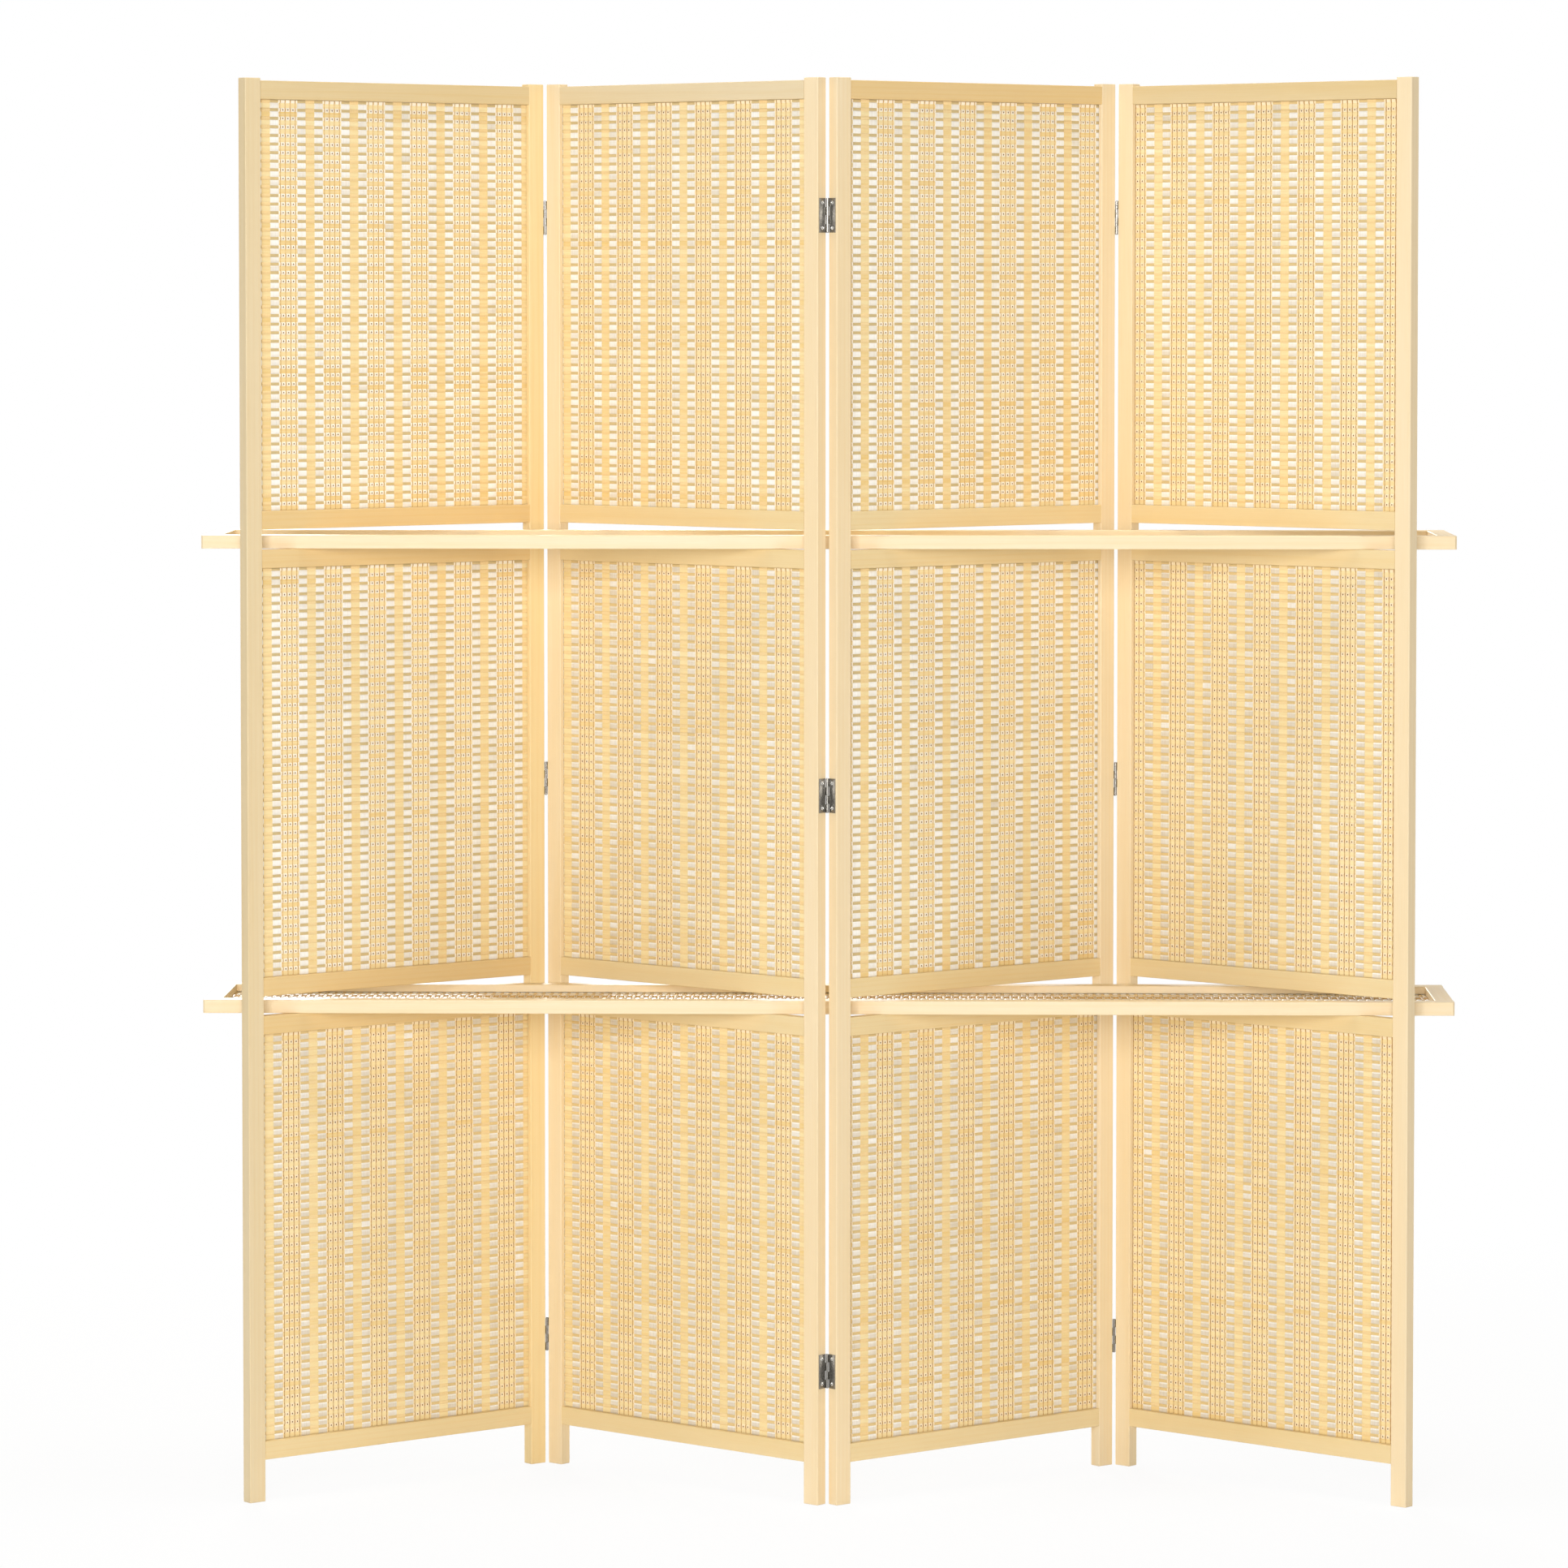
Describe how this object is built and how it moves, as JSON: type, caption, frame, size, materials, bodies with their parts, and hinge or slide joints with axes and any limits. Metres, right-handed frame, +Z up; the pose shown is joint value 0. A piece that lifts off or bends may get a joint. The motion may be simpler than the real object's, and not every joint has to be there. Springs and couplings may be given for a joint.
{
  "type": "folding room divider",
  "caption": "Folding room divider of framed woven bamboo panels, hinged in a zigzag, with long shelves threaded through slots between the mats.",
  "frame": {"origin": "on the floor, under the middle of the screen", "axes": "+X along the screen to the viewer's right, +Y away from the viewer, +Z up"},
  "size_m": [1.497, 0.2936, 1.7],
  "materials": {
    "pine_frame": "satin clear lacquer",
    "bamboo_mat": "woven, matt",
    "hinge_metal": "bright nickel plate"
  },
  "bodies": {
    "panel_1": {"panel_1_left_post": "pine_frame", "panel_1_right_post": "pine_frame", "panel_1_bottom_rail": "pine_frame", "panel_1_top_rail": "pine_frame", "panel_1_lower_slot_rails": "pine_frame", "panel_1_upper_slot_rails": "pine_frame", "panel_1_lower_mat": "bamboo_mat", "panel_1_middle_mat": "bamboo_mat", "panel_1_upper_mat": "bamboo_mat", "panel_1_hinge_screws": "hinge_metal", "left_hinges_left_leaves": "hinge_metal"},
    "panel_2": {"panel_2_left_post": "pine_frame", "panel_2_right_post": "pine_frame", "panel_2_bottom_rail": "pine_frame", "panel_2_top_rail": "pine_frame", "panel_2_lower_slot_rails": "pine_frame", "panel_2_upper_slot_rails": "pine_frame", "panel_2_lower_mat": "bamboo_mat", "panel_2_middle_mat": "bamboo_mat", "panel_2_upper_mat": "bamboo_mat", "panel_2_hinge_screws": "hinge_metal", "left_hinges_right_leaves": "hinge_metal", "left_hinges_pins": "hinge_metal", "middle_hinges_left_leaves": "hinge_metal", "middle_hinges_pins": "hinge_metal"},
    "panel_3": {"panel_3_left_post": "pine_frame", "panel_3_right_post": "pine_frame", "panel_3_bottom_rail": "pine_frame", "panel_3_top_rail": "pine_frame", "panel_3_lower_slot_rails": "pine_frame", "panel_3_upper_slot_rails": "pine_frame", "panel_3_lower_mat": "bamboo_mat", "panel_3_middle_mat": "bamboo_mat", "panel_3_upper_mat": "bamboo_mat", "panel_3_hinge_screws": "hinge_metal", "middle_hinges_right_leaves": "hinge_metal", "right_hinges_left_leaves": "hinge_metal", "right_hinges_pins": "hinge_metal"},
    "panel_4": {"panel_4_left_post": "pine_frame", "panel_4_right_post": "pine_frame", "panel_4_bottom_rail": "pine_frame", "panel_4_top_rail": "pine_frame", "panel_4_lower_slot_rails": "pine_frame", "panel_4_upper_slot_rails": "pine_frame", "panel_4_lower_mat": "bamboo_mat", "panel_4_middle_mat": "bamboo_mat", "panel_4_upper_mat": "bamboo_mat", "panel_4_hinge_screws": "hinge_metal", "right_hinges_right_leaves": "hinge_metal"},
    "upper_shelf": {"upper_shelf_front_rail": "pine_frame", "upper_shelf_back_rail": "pine_frame", "upper_shelf_left_end": "pine_frame", "upper_shelf_right_end": "pine_frame", "upper_shelf_mat": "bamboo_mat"},
    "lower_shelf": {"lower_shelf_front_rail": "pine_frame", "lower_shelf_back_rail": "pine_frame", "lower_shelf_left_end": "pine_frame", "lower_shelf_right_end": "pine_frame", "lower_shelf_mat": "bamboo_mat"}
  },
  "joints": [
    {"name": "fold", "type": "hinge", "parent": "panel_2", "child": "panel_3", "pos_m": [0, -0.13658, 0], "axis": [0, 0, 1], "range_deg": [-14, 100]},
    {"name": "left_fold", "type": "hinge", "parent": "panel_2", "child": "panel_1", "pos_m": [-0.35013, 0.13658, 0], "axis": [0, 0, 1], "range_deg": [-14, 100]},
    {"name": "right_fold", "type": "hinge", "parent": "panel_3", "child": "panel_4", "pos_m": [0.35013, 0.13658, 0], "axis": [0, 0, 1], "range_deg": [-100, 14]},
    {"name": "upper_shelf_turn", "type": "hinge", "parent": "panel_2", "child": "upper_shelf", "pos_m": [-0.17506, 0, 0], "axis": [0, 0, 1], "range_deg": [-7, 50]},
    {"name": "lower_shelf_turn", "type": "hinge", "parent": "panel_2", "child": "lower_shelf", "pos_m": [-0.17506, 0, 0], "axis": [0, 0, 1], "range_deg": [-7, 50]}
  ],
  "couplings": [
    {"joint": "left_fold", "follows": "fold", "ratio": 1},
    {"joint": "right_fold", "follows": "fold", "ratio": -1},
    {"joint": "upper_shelf_turn", "follows": "fold", "ratio": 0.5},
    {"joint": "lower_shelf_turn", "follows": "fold", "ratio": 0.5}
  ]
}
